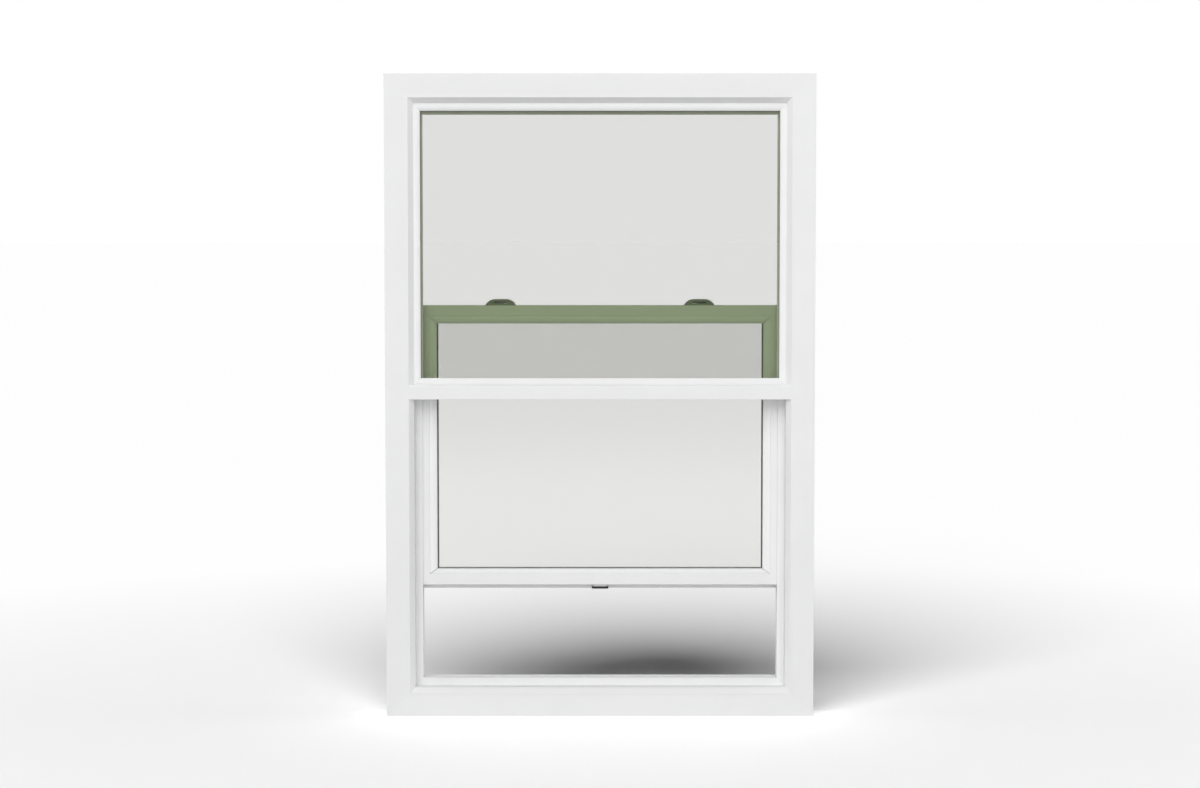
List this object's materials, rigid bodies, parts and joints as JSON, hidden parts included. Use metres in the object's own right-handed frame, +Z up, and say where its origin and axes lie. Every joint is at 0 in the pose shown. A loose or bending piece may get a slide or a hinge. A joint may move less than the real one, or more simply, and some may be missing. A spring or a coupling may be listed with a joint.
{
  "type": "single-hung sash window",
  "caption": "White vinyl single-hung window with a mitred frame, fixed upper double glazing, a sliding lower sash with cam locks, and spiral balances in the jambs.",
  "frame": {"origin": "centre of the sill's underside, at the frame's mid-depth", "axes": "+Z up, -Y towards the outside, +X to the right seen from outside"},
  "size_m": [0.9144, 0.0885, 1.3716],
  "materials": {
    "white_vinyl": "satin",
    "tinted_glass": "clear, green tint",
    "spacer_bar": "satin",
    "black_rubber": "matt",
    "grey_rubber": "matt",
    "grey_pile": "brushed pile",
    "white_rubber": "matt",
    "grey_lock_metal": "satin",
    "steel_screw": "plated",
    "balance_tube": "satin",
    "grey_nylon": "matt"
  },
  "bodies": {
    "frame": {"cap_screws": "steel_screw", "head": "white_vinyl", "keeper_screws": "steel_screw", "left_balance_cap": "grey_nylon", "left_balance_tube": "balance_tube", "left_jamb": "white_vinyl", "left_keeper": "grey_lock_metal", "meeting_rail": "white_vinyl", "meeting_rail_pile": "grey_pile", "right_balance_cap": "grey_nylon", "right_balance_tube": "balance_tube", "right_jamb": "white_vinyl", "right_keeper": "grey_lock_metal", "sill": "white_vinyl", "sill_insert": "white_vinyl", "travel_stops": "grey_nylon", "upper_bead_bottom": "white_vinyl", "upper_bead_left": "white_vinyl", "upper_bead_right": "white_vinyl", "upper_bead_top": "white_vinyl", "upper_edge_seal": "black_rubber", "upper_glazing_tape": "grey_rubber", "upper_inner_pane": "tinted_glass", "upper_outer_pane": "tinted_glass", "upper_setting_blocks": "grey_rubber", "upper_spacer": "spacer_bar"},
    "sash": {"top_rail": "white_vinyl", "bottom_rail": "white_vinyl", "left_stile": "white_vinyl", "right_stile": "white_vinyl", "sash_bead_left": "white_vinyl", "sash_bead_right": "white_vinyl", "sash_bead_top": "white_vinyl", "sash_bead_bottom": "white_vinyl", "sash_outer_pane": "tinted_glass", "sash_inner_pane": "tinted_glass", "sash_spacer": "spacer_bar", "sash_edge_seal": "black_rubber", "sash_glazing_tape": "grey_rubber", "sash_setting_blocks": "grey_rubber", "left_lock_housing": "grey_lock_metal", "right_lock_housing": "grey_lock_metal", "lock_screws": "steel_screw", "stile_piles": "grey_pile", "bottom_seal": "white_rubber", "bumper": "black_rubber", "bumper_carrier": "white_vinyl", "left_balance_shoe": "grey_nylon", "right_balance_shoe": "grey_nylon", "shoe_screws": "steel_screw", "left_spiral_rod": "steel_screw", "right_spiral_rod": "steel_screw"},
    "left_lock": {"left_lock_lever": "grey_lock_metal", "left_lock_cam": "grey_lock_metal"},
    "right_lock": {"right_lock_lever": "grey_lock_metal", "right_lock_cam": "grey_lock_metal"},
    "left_bushing": {"left_balance_bushing": "grey_nylon"},
    "right_bushing": {"right_balance_bushing": "grey_nylon"}
  },
  "joints": [
    {"name": "sash_slide", "type": "slide", "parent": "frame", "child": "sash", "axis": [0, 0, 1], "range_m": [-0.1926, 0.3684]},
    {"name": "left_lock_turn", "type": "hinge", "parent": "sash", "child": "left_lock", "pos_m": [-0.213, 0.0205, 0.8796], "axis": [0, 0, -1], "range_deg": [0, 90]},
    {"name": "right_lock_turn", "type": "hinge", "parent": "sash", "child": "right_lock", "pos_m": [0.213, 0.0205, 0.8796], "axis": [0, 0, 1], "range_deg": [0, 90]},
    {"name": "left_bushing_spin", "type": "hinge", "parent": "frame", "child": "left_bushing", "pos_m": [-0.4022, 0.022, 0.707], "axis": [0, 0, 1], "range_deg": [-926, 1770]},
    {"name": "right_bushing_spin", "type": "hinge", "parent": "frame", "child": "right_bushing", "pos_m": [0.4022, 0.022, 0.707], "axis": [0, 0, 1], "range_deg": [-1770, 926]}
  ],
  "couplings": [
    {"joint": "left_bushing_spin", "follows": "sash_slide", "rad_per_m": 83.776},
    {"joint": "right_bushing_spin", "follows": "sash_slide", "rad_per_m": -83.776}
  ]
}
